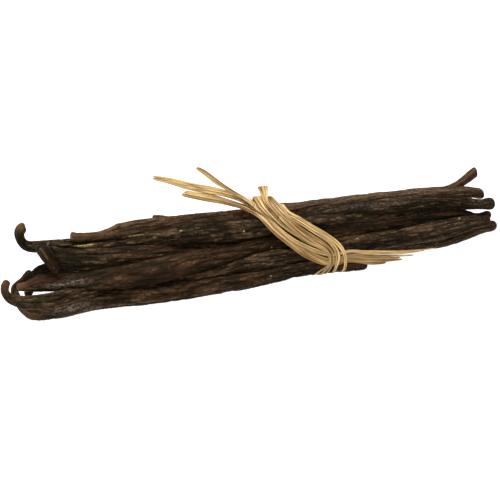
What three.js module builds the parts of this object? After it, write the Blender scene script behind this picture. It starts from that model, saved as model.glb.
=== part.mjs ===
// A bundle of nine cured vanilla pods, tied round the middle with raffia.
//
// Millimetres. +X runs along the bundle, from the hooked stalk ends to the blossom ends, +Y to its
// back and +Z up. The bundle lies on the plane z = 0. The origin is under the middle of its box.
//
// A pod's route lists points of its middle line as [x, y, z, half width]. Its body is a function of
// x, so that at any x the pods can be laid against each other: where two of them would meet, each
// ends at the plane between them, as soft pods that are tied together do.

import * as THREE from "three";

// ---- Driving dimensions ------------------------------------------------------------------------

const POD_GAP = 0.3; // clear space between pods that press on each other
const POD_SIDES = 12; // corners of a pod's section
const RIDGE_DEPTH = 0.07; // share of the half width that the ridges of the dried skin stand out
const BODY_STEP = 6; // distance between sections along a body
const CLOSE_STATIONS = { before: -48, step: 3 }; // where pods bend and dive between each other
const STALK_STEP = 1.6; // distance between sections along a bent stalk
const TIP_RINGS = [7, 4.6, 3, 1.9, 0.9, 0.25]; // distances of the last sections from the blossom end
const SCAR_FLARE = 0.45; // how far the blossom scar stands out from the neck behind it
const SCAR_PLACE = 1.7; // distance of the scar's widest ring from the end
const SCAR_WIDTH = 1.3;
const END_ROUNDING = 0.9;

const STRAND_THICKNESS = 0.45; // a raffia strand is a leaf strip folded flat
const STRAND_CLEARANCE = 0.35; // between the pods and the lowest strands
const TIE_AXIS = { y: 3.2, z: 9.4 }; // the line that the strands are wound round
const LOOP_SECTIONS = 60;
const FREE_FACING = new THREE.Vector3(0, -0.7, 0.7); // where the broad side of a free left end looks
// half the width over which a strand feels the outline's tilt
const TILT_SPAN = THREE.MathUtils.degToRad(12);
const STRAND_STEP = 2; // distance between sections along an open strand
const TIE_PLACE = 19; // x where the strands pass under the bundle
const TIE_LENGTH = 12;
const TIE_FLOOR = 1.05; // height of the pods' undersides there, which leaves room for a strand

const BOX_CENTRE = { x: 3, y: 4.2 }; // middle of the whole bundle, moved to the origin

const SKIN_COLOUR = 0x3b2a1c;
const RAFFIA_COLOUR = 0xb5945d;

// ---- The pods ----------------------------------------------------------------------------------

const PODS = [
  {
    name: "pod_tall_hook",
    stalk: [[-75, 13.5, 26.5, 1.4], [-76.1, 13.4, 26.4, 1.6], [-77, 13.2, 24.6, 1.35],
      [-76.9, 12.9, 22.4, 1.2], [-76.1, 12.5, 20.4, 1.3], [-74.2, 12.2, 19.1, 1.5]],
    body: [[-71.5, 12, 18.6, 1.7], [-66, 12, 17.9, 1.6], [-58.6, 12, 16.7, 1.9],
      [-49.8, 11.4, 15.5, 2.4], [-40, 10.6, 15.2, 3.1], [-29.5, 9, 15.6, 3.6],
      [-16, 7, 16.4, 3.8], [5.5, 5.4, 15.5, 3.4], [35.5, 5.2, 15.9, 3.3], [55.6, 5.5, 14.4, 3.0],
      [69.6, 5.7, 13.2, 2.7], [80.6, 5.6, 10.9, 1.9], [87, 5.5, 9.1, 1.35], [92.6, 5.5, 8.5, 1.4]],
    ridges: 5, turn: 0.4,
  },
  {
    name: "pod_top",
    stalk: [[-59.4, 12.1, 20.4, 1.3], [-58, 12.1, 19.9, 1.1]],
    body: [[-56.5, 12.1, 19.5, 1.1], [-51.5, 12, 18.8, 1.05], [-47, 12, 19, 1.4],
      [-41, 12.1, 19.4, 2.3], [-28.3, 12.6, 18.4, 2.3], [-14.3, 12.6, 17.2, 2.5],
      [7.3, 11.5, 16.4, 2.7], [37.1, 11, 15, 2.6], [57, 10.6, 14.5, 2.2], [70.9, 10.3, 13.7, 2.0],
      [81.8, 10.1, 12.3, 1.9], [85.5, 10, 11.5, 1.5], [90.2, 10, 9.8, 1.1]],
    ridges: 4, turn: 1.3,
  },
  {
    name: "pod_curled",
    stalk: [[-67.6, 1.5, 14.9, 1.0], [-68, 1.2, 17.4, 1.4], [-69, 1.5, 20.3, 1.8],
      [-70.1, 2.6, 22.3, 2.0], [-70.6, 4.5, 23.1, 2.15], [-70.4, 6.4, 21.8, 2.2],
      [-69.3, 6.9, 19.6, 2.5]],
    body: [[-67, 6.7, 17.3, 3.2], [-63.5, 6.0, 15.9, 3.5], [-51.5, 5.2, 14, 3.3],
      [-41.7, 4.9, 13.4, 3.1], [-30.6, 5.0, 12.2, 3.1], [-16.2, 6.2, 10.2, 3.1],
      [6.3, 8, 10.1, 3.0], [36.3, 8.2, 10.4, 2.9], [56.5, 8.8, 9.6, 2.5], [70.3, 8.3, 8.2, 2.2],
      [81.1, 7.5, 5.2, 1.5], [86.5, 7.1, 2.7, 0.8], [92.4, 7, 2.4, 0.9]],
    ridges: 6, turn: 2.2,
  },
  {
    name: "pod_arched",
    stalk: [[-76.8, 8.2, 1.5, 1.1], [-75.7, 8.7, 3.7, 1.2], [-74.4, 9.3, 6.1, 1.4],
      [-73.4, 10, 7.8, 1.6], [-71.4, 10.6, 8.9, 1.8]],
    body: [[-68.4, 10.9, 9.2, 1.9], [-63.1, 11.2, 9.1, 2.2], [-58, 11.2, 9, 2.3],
      [-50.1, 11, 9, 2.8], [-40.1, 11, 8, 3], [-15.3, 9.5, 4.7, 3], [6.2, 7.7, 4.1, 3],
      [36.2, 7.6, 4.2, 2.8], [56, 7, 3, 2.6], [69.9, 6.8, 2.15, 2.2], [78.8, 6.5, 2, 1.4]],
    ridges: 5, turn: 0.9,
  },
  {
    name: "pod_under",
    stalk: [],
    body: [[-61.3, 6.6, 2.4, 1.3], [-56.3, 6.8, 2.7, 2.0], [-51.3, 7, 2.9, 2.6],
      [-41.2, 7, 3.0, 2.8], [-17, 3.4, 3.1, 2.9], [4.3, 1.2, 3.3, 2.8], [34.1, 0.3, 3.9, 2.7],
      [53.9, -0.4, 2.8, 2.6], [67.4, -2.4, 2.4, 2.3], [78.6, -1.3, 2.3, 2.0], [86.5, -0.3, 2.6, 1.4],
      [91.6, 0, 3, 1.2]],
    ridges: 5, turn: 2.9,
  },
  {
    name: "pod_looped",
    stalk: [[-75, 5.6, 12.8, 1.3], [-76.1, 5.5, 12, 1.7], [-77.8, 5.4, 10.4, 1.0],
      [-79.7, 5.1, 9.7, 0.85], [-81.2, 4.6, 9, 0.95], [-81.6, 3.6, 7.7, 1.0],
      [-81.2, 2.4, 6.5, 1.1], [-80.8, 0.9, 5.3, 1.3]],
    body: [[-80.6, -0.3, 4.3, 1.7], [-79.2, -1.3, 3.4, 2.5], [-77, -2.2, 2.85, 2.8],
      [-72.5, -2.9, 2.7, 2.7], [-67.5, -3.5, 2.7, 2.7], [-60.5, -3.1, 2.9, 2.8],
      [-54, -3, 2.9, 2.8], [-43, -3.8, 2.9, 2.8], [-32, -4.9, 3.0, 2.9],
      [-18, -5.5, 3.0, 3.0], [2.4, -5.4, 3.2, 2.9], [18.4, -5.6, 3.7, 2.8], [28, -6.6, 3.6, 2.5],
      [34, -7.9, 3.1, 1.9], [40, -8.5, 2.7, 1.0]],
    ridges: 5, turn: 1.7,
  },
  {
    name: "pod_thick",
    stalk: [[-80.6, 1.4, 11.2, 1.15], [-77.5, 1.6, 10.7, 1.35]],
    body: [[-75, 1.8, 10.8, 2.3], [-72.5, 1.9, 10.9, 2.75], [-67.5, 1.6, 10.4, 2.9],
      [-60, 0.5, 10, 3.1], [-53.1, -0.3, 9.9, 3.5], [-43.4, -1.1, 9.7, 3.9], [-32.3, -1, 9.8, 4.1],
      [-18.1, -0.3, 10.1, 3.7], [4.6, 2, 10.4, 3.2], [34.7, 2.6, 10.6, 3.0], [55, 3.5, 9.7, 2.5],
      [69.1, 3.9, 9.0, 1.9], [79, 4.1, 7.2, 1.6], [85.4, 4.2, 4.6, 0.7]],
    ridges: 6, turn: 0.2,
  },
  {
    name: "pod_front_hook",
    stalk: [[-84.3, -2.2, 17.2, 1.0], [-85.1, -2.4, 16, 1.05], [-85.6, -2.8, 13.8, 1.0],
      [-84.8, -3.5, 11.8, 1.1], [-83.2, -4, 10.6, 1.3], [-81, -4.3, 9.6, 1.6]],
    body: [[-78.5, -4.5, 8.7, 1.95], [-74.4, -4.5, 8.0, 2.1], [-68, -4.1, 7.7, 2.2],
      [-62, -3.1, 7.6, 2.2], [-56, -1.2, 6.4, 2.3], [-50, 0.5, 5, 2.4], [-43, 1.6, 3.8, 2.7],
      [-32.2, 0.8, 4, 2.8], [-18.6, -1.6, 5.6, 2.8], [3.2, -2.8, 7.3, 2.9], [33.2, -2.8, 7.6, 2.9],
      [53.3, -2.6, 7.1, 2.5], [67.5, -3.0, 7.2, 3.0], [80, -1.5, 6.9, 2.4], [88.5, -1, 6.2, 1.5]],
    ridges: 5, turn: 2.5,
  },
  {
    name: "pod_upturned",
    stalk: [],
    body: [[-30, 16.4, 19.2, 0.9], [-26, 16.2, 17.3, 1.2], [-14, 15.4, 13.6, 2.1],
      [8, 13.8, 11.4, 2.4], [37.7, 13.2, 10.4, 2.4], [57.7, 13.2, 10.2, 2.2], [68, 13.6, 10.6, 1.9],
      [75.5, 14, 10.8, 1.4], [79.5, 14.2, 11.3, 1.1], [82.5, 14.4, 12.8, 1.1],
      [88.6, 14.8, 16.9, 1.5]],
    ridges: 4, turn: 0.7, cutOff: true,
  },
];

// ---- The raffia --------------------------------------------------------------------------------

// Rows of "over" lie round the bundle: [degrees, x, height above the pods, width]. The degrees are
// turned from the back (0) over the top (90) to the front (180). The five loops are closed. The
// tails of an open strand stand free of the bundle: [x, y, z, width].
const LOOPS = [
  {
    name: "raffia_loop_1",
    over: [[-132, 19.2, 0, 1], [-90, 14.5, 0, 1.2], [-30, 9.4, 0, 1.3], [0, 7.6, 0.6, 1.5],
      [27, 7, 3.4, 1.9], [56, 6.8, 4.8, 2.6], [74, 7.7, 3.2, 2.4], [90, 10, 1.6, 1.4],
      [103, 12.9, 0.4, 1.1], [124, 16, 0, 1], [150, 19, 0, 0.8], [165, 22, 0.15, 0.8],
      [177, 25.2, 0.85, 0.8], [190, 26.7, 0.95, 0.7], [198, 25.5, 0.95, 0.6],
      [204, 23, 0.3, 0.6], [214, 20.9, 0, 0.8]],
  },
  {
    name: "raffia_loop_2",
    over: [[-132, 21.4, 0, 1], [-90, 16.4, 0, 1.2], [-30, 11.4, 0, 1.3], [0, 9.5, 0.6, 1.5],
      [27, 9.1, 3, 1.5], [54, 9.4, 4.2, 1.8], [73, 10.9, 2.4, 2], [86, 12, 1.7, 1.8],
      [103, 14.7, 0.9, 1.5], [127, 17.5, 0.8, 1.5], [150, 20.5, 0.8, 1.5],
      [163, 23.2, 1.1, 1.3], [173, 25.5, 1.5, 1.1], [187, 26.7, 1.6, 0.9],
      [196, 25.7, 1.7, 0.7], [203, 23.9, 1.1, 0.6], [214, 22.9, 0.4, 0.8]],
  },
  {
    name: "raffia_loop_3",
    over: [[-132, 23.6, 0, 1], [-90, 18.5, 0, 1.2], [-30, 13.4, 0, 1.3], [0, 11.4, 0.4, 1.5],
      [25, 11, 2.2, 1.5], [48, 11, 3.8, 1.7], [63, 13, 2.1, 1.7], [76, 13.9, 1.4, 1.7],
      [90, 15, 0.9, 1.5], [112, 18.1, 0.2, 1.4], [136, 21.1, 0.1, 1.5], [156, 24.1, 0.3, 1.4],
      [170, 26.4, 0.9, 1.1], [182, 27.8, 0.95, 0.8], [194, 27.7, 0.95, 0.7],
      [203, 25.6, 0.85, 0.6], [214, 24.9, 0.1, 0.8]],
  },
  {
    name: "raffia_loop_4",
    over: [[-132, 26, 0, 1.1], [-90, 20.6, 0, 1.2], [-30, 15.3, 0, 1.3], [0, 13.4, 0.1, 1.3],
      [33, 12.9, 0.6, 1.3], [61, 13.3, 0.3, 1.2], [76, 15.1, 0, 1], [90, 17.1, 0, 1],
      [106, 20.1, 0, 1], [128, 23.1, 0, 1.2], [151, 26.1, 0.1, 1.3], [167, 28.1, 0.7, 1.3],
      [181, 29.4, 0.95, 1.4], [192, 29.5, 1, 1.4], [201, 28, 0.95, 0.8],
      [214, 27.1, 0.15, 0.9]],
  },
  {
    name: "raffia_loop_5",
    over: [[-132, 29, 0, 1.2], [-90, 22.9, 0, 1.3], [-30, 17.3, 0, 1.3], [0, 15.3, 0.1, 1.3],
      [34, 15, 0.5, 1.2], [60, 15.3, 0.4, 1.2], [76, 16.7, 0.2, 1.1], [90, 18.9, 0.1, 1],
      [106, 21.9, 0, 1], [126, 24.9, 0, 1.1], [150, 28, 0.2, 1.2], [166, 30, 0.6, 1.3],
      [178, 31.4, 1, 1.3], [191, 32.2, 1.25, 1.1], [201, 31.6, 0.6, 0.9], [214, 30.6, 0, 1.1]],
  },
];

const STRANDS = [
  {
    name: "raffia_strand_lower",
    before: [[-20.7, 12, 31, 1.1], [-14.4, 11.8, 28.6, 1.3], [-9.3, 11.4, 26.8, 1.4],
      [-3.4, 10.8, 24.1, 1.4]],
    over: [[54, 2.6, 1.6, 1.9], [63, 4.4, 1, 1.7], [74, 5.7, 1, 1.6], [92, 7.4, 0.9, 1.5],
      [124, 10.8, 0.9, 1.6], [154, 14.3, 0.8, 1.5], [170, 16.2, 0.7, 1.4], [182, 18.5, 0.4, 1.2],
      [194, 22.2, 0, 1], [200, 26, 0, 1], [197, 31.8, 0, 1.1]],
    after: [[38.5, -9.5, 5, 1.3], [44, -9.7, 4, 1.4], [52.5, -9.8, 2.9, 1.1]],
  },
  {
    name: "raffia_strand_upper",
    before: [],
    over: [[49, 3.1, 4.4, 1.8], [62, 5.3, 2.7, 1.5], [78, 7.6, 1.4, 1.1], [95, 9.6, 0.8, 0.9],
      [128, 13.2, 0.7, 1.1], [153, 16.9, 0.6, 1.1], [168, 20, 0.1, 1.2], [180, 23.2, 0, 1.3],
      [190, 27.5, 0, 1.1], [186, 32.7, 0.1, 1]],
    after: [[39, -8.1, 8, 1.2], [50.3, -8.4, 5.8, 1.1], [57.8, -8.4, 4.8, 0.8],
      [65.6, -8.3, 4.1, 0.5]],
  },
  {
    name: "raffia_strand_middle",
    before: [[-30, 14.5, 37.6, 0.8], [-23.6, 14, 35.2, 1.1], [-17.4, 13.6, 32.2, 1.4],
      [-4.4, 12.4, 27.1, 1.4]],
    over: [[52, 2.9, 2.6, 1.9], [59, 4.8, 1.9, 1.6], [63, 6.8, 1, 1.2], [75, 8.1, 0.3, 1],
      [110, 11.7, 0, 0.9], [147, 15.1, 0, 1], [164, 16.8, 0, 1.1], [179, 20, 0, 1.2],
      [190, 23, 0, 1.3], [196, 26.5, 0, 1.1], [193, 32.1, 0, 1.1]],
    after: [[38.5, -8.7, 6.5, 1.3], [46, -9.1, 5.1, 1.2], [56.8, -9.3, 3.6, 0.6]],
  },
  {
    name: "raffia_tail_thin",
    before: [[-14.6, 16, 37.9, 0.7], [-11.2, 15.5, 35.1, 1.0], [-8.3, 14.8, 31.9, 1.1]],
    over: [[53, 1.4, 5.3, 1.2], [62, 2.7, 5, 1.1], [70, 3.8, 4.4, 0.8]],
    after: [],
  },
  {
    name: "raffia_folded_tab",
    before: [],
    over: [[96, 11.2, 4, 1.0], [84, 9.2, 4.8, 1.2], [72, 7.9, 6, 1.7], [60, 8.6, 6.9, 2.4],
      [50, 9.1, 7.7, 3.4]],
    after: [],
  },
];

// ---- Shared shapes -----------------------------------------------------------------------------

// A smooth curve through rows [x, a, b, ...] read as functions of x: every column after the first.
function columnsAt(rows, x) {
  const last = rows.length - 1;
  let k = 0;
  while (k < last - 1 && rows[k + 1][0] < x) k += 1;
  const [p, q] = [rows[k], rows[k + 1]];
  const span = q[0] - p[0];
  const t = THREE.MathUtils.clamp((x - p[0]) / span, 0, 1);
  const slope = (i, c) => {
    const [before, after] = [rows[Math.max(i - 1, 0)], rows[Math.min(i + 1, last)]];
    return (after[c] - before[c]) / (after[0] - before[0]);
  };
  const blend = (c) =>
    (2 * t ** 3 - 3 * t ** 2 + 1) * p[c] +
    (t ** 3 - 2 * t ** 2 + t) * span * slope(k, c) +
    (-2 * t ** 3 + 3 * t ** 2) * q[c] +
    (t ** 3 - t ** 2) * span * slope(k + 1, c);
  return p.slice(1).map((_, c) => blend(c + 1));
}

// A closed skin over rings of points that all have the same number of corners.
function skinOver(rings, closedLoop = false) {
  const sides = rings[0].length;
  const positions = rings.flat().flatMap((p) => [p.x, p.y, p.z]);
  const faces = [];
  const spans = closedLoop ? rings.length : rings.length - 1;
  for (let i = 0; i < spans; i += 1) {
    const here = i * sides;
    const there = ((i + 1) % rings.length) * sides;
    for (let k = 0; k < sides; k += 1) {
      const next = (k + 1) % sides;
      faces.push(here + k, here + next, there + next, here + k, there + next, there + k);
    }
  }
  if (!closedLoop) {
    const lastStart = (rings.length - 1) * sides;
    for (const [ring, first, turned] of [[rings[0], 0, true], [rings.at(-1), lastStart, false]]) {
      const middle = ring.reduce((sum, p) => sum.add(p), new THREE.Vector3()).divideScalar(sides);
      positions.push(middle.x, middle.y, middle.z);
      const centre = positions.length / 3 - 1;
      for (let k = 0; k < sides; k += 1) {
        const [a, b] = [first + k, first + ((k + 1) % sides)];
        faces.push(...(turned ? [centre, b, a] : [centre, a, b]));
      }
    }
  }
  const geometry = new THREE.BufferGeometry();
  geometry.setAttribute("position", new THREE.Float32BufferAttribute(positions, 3));
  geometry.setIndex(faces);
  geometry.computeVertexNormals();
  return geometry;
}

// ---- Pods --------------------------------------------------------------------------------------

const bodyStart = (pod) => pod.body[0][0];
const bodyEnd = (pod) => pod.body.at(-1)[0];

// The middle and half width of a pod's body at x, or null where the pod isn't there.
function bodyAt(pod, x) {
  if (x < bodyStart(pod) || x > bodyEnd(pod)) return null;
  const [y, z, halfWidth] = columnsAt(pod.body, x);
  return { y, z, halfWidth };
}

// The neck of a pod flares again into the round scar of the blossom, and ends blunt. A pod whose
// end is cut off has neither.
function endShape(pod, halfWidth, distance) {
  if (pod.cutOff) return halfWidth;
  const flare = SCAR_FLARE * Math.exp(-(((distance - SCAR_PLACE) / SCAR_WIDTH) ** 2));
  const rounding = Math.sqrt(1 - (1 - Math.min(distance / END_ROUNDING, 1)) ** 2);
  return (halfWidth + flare) * Math.max(rounding, 0.45);
}

// The dried skin: an oval section with ridges that wander slowly round it along the pod.
function skinFactor(pod, angle, x) {
  const wander = pod.turn + x * 0.012;
  const oval = 0.07 * Math.cos(2 * angle - wander);
  const ridges = RIDGE_DEPTH * Math.cos(pod.ridges * angle + 2.3 * wander);
  const waist = 0.03 * Math.sin(x * 0.19 + pod.turn * 5);
  return 1 + oval + ridges + waist;
}

// The tie lifts the undersides of the pods where it passes below them.
const floorAt = (x) => TIE_FLOOR * Math.exp(-(((x - TIE_PLACE) / TIE_LENGTH) ** 4));

// How far a section may reach in each direction before it meets a neighbour.
function limitsOn(pod, x, here) {
  const limits = [];
  for (const other of PODS) {
    const there = other === pod ? null : bodyAt(other, x);
    if (!there) continue;
    const [dy, dz] = [there.y - here.y, there.z - here.z];
    const apart = Math.hypot(dy, dz);
    const share = (apart ** 2 + here.halfWidth ** 2 - there.halfWidth ** 2) / (2 * apart);
    limits.push({ angle: Math.atan2(dz, dy), reach: share - POD_GAP / 2 });
  }
  return limits;
}

function bodyRing(pod, x) {
  const here = bodyAt(pod, x);
  const halfWidth = endShape(pod, here.halfWidth, bodyEnd(pod) - x + 0.05);
  const limits = limitsOn(pod, x, here);
  const ring = [];
  for (let k = 0; k < POD_SIDES; k += 1) {
    const angle = (2 * Math.PI * k) / POD_SIDES;
    let reach = halfWidth * skinFactor(pod, angle, x);
    for (const limit of limits) {
      const facing = Math.cos(angle - limit.angle);
      if (facing > 0.05) reach = Math.min(reach, limit.reach / facing);
    }
    const z = here.z + reach * Math.sin(angle);
    ring.push(new THREE.Vector3(x, here.y + reach * Math.cos(angle), Math.max(z, floorAt(x))));
  }
  return ring;
}

// All bodies have their sections at the same places, so that pods that touch keep to the planes
// between them.
function bodyStations(pod) {
  const [start, end] = [bodyStart(pod), bodyEnd(pod)];
  const straightEnd = end - TIP_RINGS[0];
  const stations = [start];
  let x = Math.ceil((start + 1.5) / BODY_STEP) * BODY_STEP;
  while (x < straightEnd - 1) {
    stations.push(x);
    x += x < CLOSE_STATIONS.before ? CLOSE_STATIONS.step : BODY_STEP;
  }
  return stations.concat(TIP_RINGS.map((distance) => end - distance));
}

// A stalk is a plain tube along its own curve, cut off square. Its sections turn gradually until
// they stand as the body's do.
function stalkRings(pod) {
  if (!pod.stalk.length) return [];
  const rows = [...pod.stalk, ...pod.body.slice(0, 2)];
  const places = rows.map(([x, y, z]) => new THREE.Vector3(x, y, z));
  const curve = new THREE.CatmullRomCurve3(places, false, "centripetal");
  const joint = pod.stalk.length / (rows.length - 1);
  const length = curve.getLength() * joint;
  const count = Math.ceil(length / STALK_STEP);
  const rings = [];
  for (let i = 0; i < count; i += 1) {
    const t = (joint * i) / count;
    const middle = curve.getPoint(t);
    const place = t * (rows.length - 1);
    const row = Math.floor(place);
    const halfWidth = THREE.MathUtils.lerp(rows[row][3], rows[row + 1][3], place - row);
    const square = THREE.MathUtils.smoothstep(joint - t, 0, 0.25 * joint);
    const forward = new THREE.Vector3(1, 0, 0).lerp(curve.getTangent(t), square).normalize();
    const across = new THREE.Vector3(0, 1, 0).addScaledVector(forward, -forward.y).normalize();
    const up = new THREE.Vector3().crossVectors(forward, across);
    const ring = [];
    for (let k = 0; k < POD_SIDES; k += 1) {
      const angle = (2 * Math.PI * k) / POD_SIDES;
      const reach = halfWidth * (1 + 0.5 * (skinFactor(pod, angle, middle.x) - 1));
      ring.push(
        middle.clone()
          .addScaledVector(across, reach * Math.cos(angle))
          .addScaledVector(up, reach * Math.sin(angle)),
      );
    }
    rings.push(ring);
  }
  return rings;
}

function makePod(pod) {
  const rings = [...stalkRings(pod), ...bodyStations(pod).map((x) => bodyRing(pod, x))];
  const material = new THREE.MeshStandardMaterial({ color: SKIN_COLOUR, roughness: 0.55, metalness: 0 });
  const mesh = new THREE.Mesh(skinOver(rings), material);
  mesh.name = pod.name;
  return mesh;
}

// ---- Raffia ------------------------------------------------------------------------------------

// How far the pods reach from the line of the tie at x in the direction of an angle, when a strand
// is pulled tight over them: the outline there without its hollows.
function tightReach(x, angle) {
  const points = PODS.filter((pod) => bodyAt(pod, x)).flatMap((pod) => bodyRing(pod, x));
  let reach = Infinity;
  for (let turn = -76; turn <= 76; turn += 4) {
    const facing = angle + THREE.MathUtils.degToRad(turn);
    const [cos, sin] = [Math.cos(facing), Math.sin(facing)];
    const reaches = points.map((p) => (p.y - TIE_AXIS.y) * cos + (p.z - TIE_AXIS.z) * sin);
    const furthest = Math.max(...reaches);
    reach = Math.min(reach, furthest / Math.cos(facing - angle));
  }
  return reach;
}

// Points and widths along rows of [degrees, x, height, width] round the bundle.
function roundTheBundle(rows, count, from = 0, to = 1) {
  const turns = rows.map(([degrees, x, height]) => new THREE.Vector3(degrees, x, height));
  const path = new THREE.CatmullRomCurve3(turns, false, "catmullrom");
  const stations = [];
  for (let i = 0; i <= count; i += 1) {
    const t = THREE.MathUtils.lerp(from, to, i / count);
    const { x: degrees, y: x, z: height } = path.getPoint(t);
    const angle = THREE.MathUtils.degToRad(degrees);
    const reach = tightReach(x, angle) + STRAND_CLEARANCE + height;
    const place = Math.min(t * (rows.length - 1), rows.length - 1.001);
    const row = Math.floor(place);
    const slope = (tightReach(x, angle + TILT_SPAN) - tightReach(x, angle - TILT_SPAN)) / (2 * TILT_SPAN);
    const away = new THREE.Vector3(0, Math.cos(angle), Math.sin(angle));
    const along = new THREE.Vector3(0, -Math.sin(angle), Math.cos(angle));
    stations.push({
      point: new THREE.Vector3(x, TIE_AXIS.y, TIE_AXIS.z).addScaledVector(away, reach),
      width: THREE.MathUtils.lerp(rows[row][3], rows[row + 1][3], place - row),
      outward: away.multiplyScalar(reach).addScaledVector(along, -slope).normalize(),
    });
  }
  return stations;
}

// A flat strip through the stations, with its broad side on the pods.
function stripRings(stations, closedLoop) {
  const last = stations.length - 1;
  return stations.map(({ point, width, outward: facing }, i) => {
    const before = stations[closedLoop ? (i + last) % (last + 1) : Math.max(i - 1, 0)].point;
    const after = stations[closedLoop ? (i + 1) % (last + 1) : Math.min(i + 1, last)].point;
    const forward = after.clone().sub(before).normalize();
    const outward = facing.clone().addScaledVector(forward, -facing.dot(forward)).normalize();
    const across = new THREE.Vector3().crossVectors(outward, forward);
    return [[-0.5, 0], [0.5, 0], [0.5, 1], [-0.5, 1]].map(([side, height]) => {
      const corner = point.clone().addScaledVector(across, side * width);
      return corner.addScaledVector(outward, height * STRAND_THICKNESS);
    });
  });
}

function strip(name, stations, closedLoop) {
  const material = new THREE.MeshStandardMaterial({ color: RAFFIA_COLOUR, roughness: 0.6, metalness: 0 });
  const mesh = new THREE.Mesh(skinOver(stripRings(stations, closedLoop), closedLoop), material);
  mesh.name = name;
  return mesh;
}

function makeLoop({ name, over }) {
  const shifted = (row, turn) => [row[0] + turn, ...row.slice(1)];
  const rows = [shifted(over.at(-1), -360), ...over, shifted(over[0], 360), shifted(over[1], 360)];
  const spans = rows.length - 1;
  const stations = roundTheBundle(rows, LOOP_SECTIONS, 1 / spans, (spans - 1) / spans);
  return strip(name, stations.slice(0, -1), true);
}

function makeStrand({ name, before, over, after }) {
  const free = ([x, y, z, width], outward) => ({ point: new THREE.Vector3(x, y, z), width, outward });
  const beside = ([, y, z]) => new THREE.Vector3(0, y - TIE_AXIS.y, z - TIE_AXIS.z).normalize();
  const wound = roundTheBundle(over, (over.length - 1) * 4);
  const all = [
    ...before.map((row) => free(row, FREE_FACING)),
    ...wound,
    ...after.map((row) => free(row, beside(row))),
  ];
  const curve = new THREE.CatmullRomCurve3(all.map(({ point }) => point), false, "centripetal");
  const count = Math.ceil(curve.getLength() / STRAND_STEP);
  const stations = [];
  for (let i = 0; i <= count; i += 1) {
    const t = curve.getUtoTmapping(i / count);
    const place = Math.min(t * (all.length - 1), all.length - 1.001);
    const row = Math.floor(place);
    const width = THREE.MathUtils.lerp(all[row].width, all[row + 1].width, place - row);
    const outward = all[row].outward.clone().lerp(all[row + 1].outward, place - row);
    stations.push({ point: curve.getPoint(t), width, outward });
  }
  return strip(name, stations, false);
}

const bundle = new THREE.Group();
PODS.forEach((pod) => bundle.add(makePod(pod)));
LOOPS.forEach((loop) => bundle.add(makeLoop(loop)));
STRANDS.forEach((strand) => bundle.add(makeStrand(strand)));
bundle.position.set(-BOX_CENTRE.x, -BOX_CENTRE.y, 0);

export default bundle;
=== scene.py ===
# %% [markdown]
# # A bundle of vanilla pods tied with raffia
#
# Nine long cured vanilla pods lie side by side and on each other. Flat strands of raffia go round
# their middle, and the ends of the strands stand out to both sides. The pods' paths and
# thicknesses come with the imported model. This lesson gives them their skin: wrinkles, furrows,
# cut ends and an oily dark brown colour. It also turns the plain strips of raffia into folded,
# fibrous ribbons.
#
# Blender works in metres. The constant MM turns millimetres into metres, so that real sizes stay
# readable. Patterns, and places on a pod or a strand, are counted in plain millimetres. Only the
# lamps, which stand far away, are placed in metres.

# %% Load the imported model
import math

import bmesh
import bpy
import numpy as np
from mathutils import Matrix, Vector, noise


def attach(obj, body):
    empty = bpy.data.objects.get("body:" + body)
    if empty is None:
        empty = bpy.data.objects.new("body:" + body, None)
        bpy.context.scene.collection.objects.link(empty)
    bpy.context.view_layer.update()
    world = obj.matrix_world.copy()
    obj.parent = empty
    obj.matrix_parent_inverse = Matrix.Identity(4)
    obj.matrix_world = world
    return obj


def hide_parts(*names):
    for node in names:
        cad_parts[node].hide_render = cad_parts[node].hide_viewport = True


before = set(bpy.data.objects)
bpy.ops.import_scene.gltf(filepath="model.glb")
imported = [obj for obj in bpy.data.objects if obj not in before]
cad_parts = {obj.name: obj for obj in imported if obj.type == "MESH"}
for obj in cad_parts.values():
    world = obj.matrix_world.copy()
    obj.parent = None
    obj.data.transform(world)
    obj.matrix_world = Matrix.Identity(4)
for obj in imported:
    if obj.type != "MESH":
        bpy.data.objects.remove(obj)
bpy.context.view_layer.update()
MM = 0.001
print("nodes:", len(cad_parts))

# %% [markdown]
# ## The view
#
# The bundle is seen from above at 38 degrees and a little from its left. A wide lens from close by
# would make the near ends look swollen. A long lens from farther away keeps the far end of the
# pods nearly as large as the near end, so a long one was chosen. The camera looks at a point near
# the middle of the pile.

# %% Camera
VIEW_AZIMUTH = math.radians(-15.8)
VIEW_ELEVATION = math.radians(38)
VIEW_DISTANCE = 620 * MM
VIEW_TARGET = Vector((-3.0, -4.2, 11.0)) * MM
LENS = 129.5
SENSOR_WIDTH = 36
NEAREST_SEEN = 10 * MM

towards_camera = Vector((
    math.sin(VIEW_AZIMUTH) * math.cos(VIEW_ELEVATION),
    -math.cos(VIEW_AZIMUTH) * math.cos(VIEW_ELEVATION),
    math.sin(VIEW_ELEVATION),
))
bpy.ops.object.camera_add(location=VIEW_TARGET + towards_camera * VIEW_DISTANCE)
camera = bpy.context.active_object
camera.name = "camera"
camera.rotation_euler = (-towards_camera).to_track_quat("-Z", "Y").to_euler()
camera.data.lens = LENS
camera.data.sensor_width = SENSOR_WIDTH
camera.data.clip_start = NEAREST_SEEN
bpy.context.scene.camera = camera
print("camera at", [round(v, 3) for v in camera.location])


# %% [markdown]
# ## Small helpers
#
# Colours are written the way a paint program shows them, as sRGB hex values. Blender's nodes work
# with linear light, so one function converts them. Nodes could be added and linked one line at a
# time, but a material of forty nodes would fill pages. One function adds a node, sets it up and
# links its inputs in one go, which keeps the materials short enough to read.

# %% Colour and node helpers
def linear(hex_colour):
    channels = [int(hex_colour[i:i + 2], 16) / 255 for i in (1, 3, 5)]
    return tuple(
        c / 12.92 if c <= 0.04045 else ((c + 0.055) / 1.055) ** 2.4 for c in channels
    ) + (1.0,)


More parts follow.
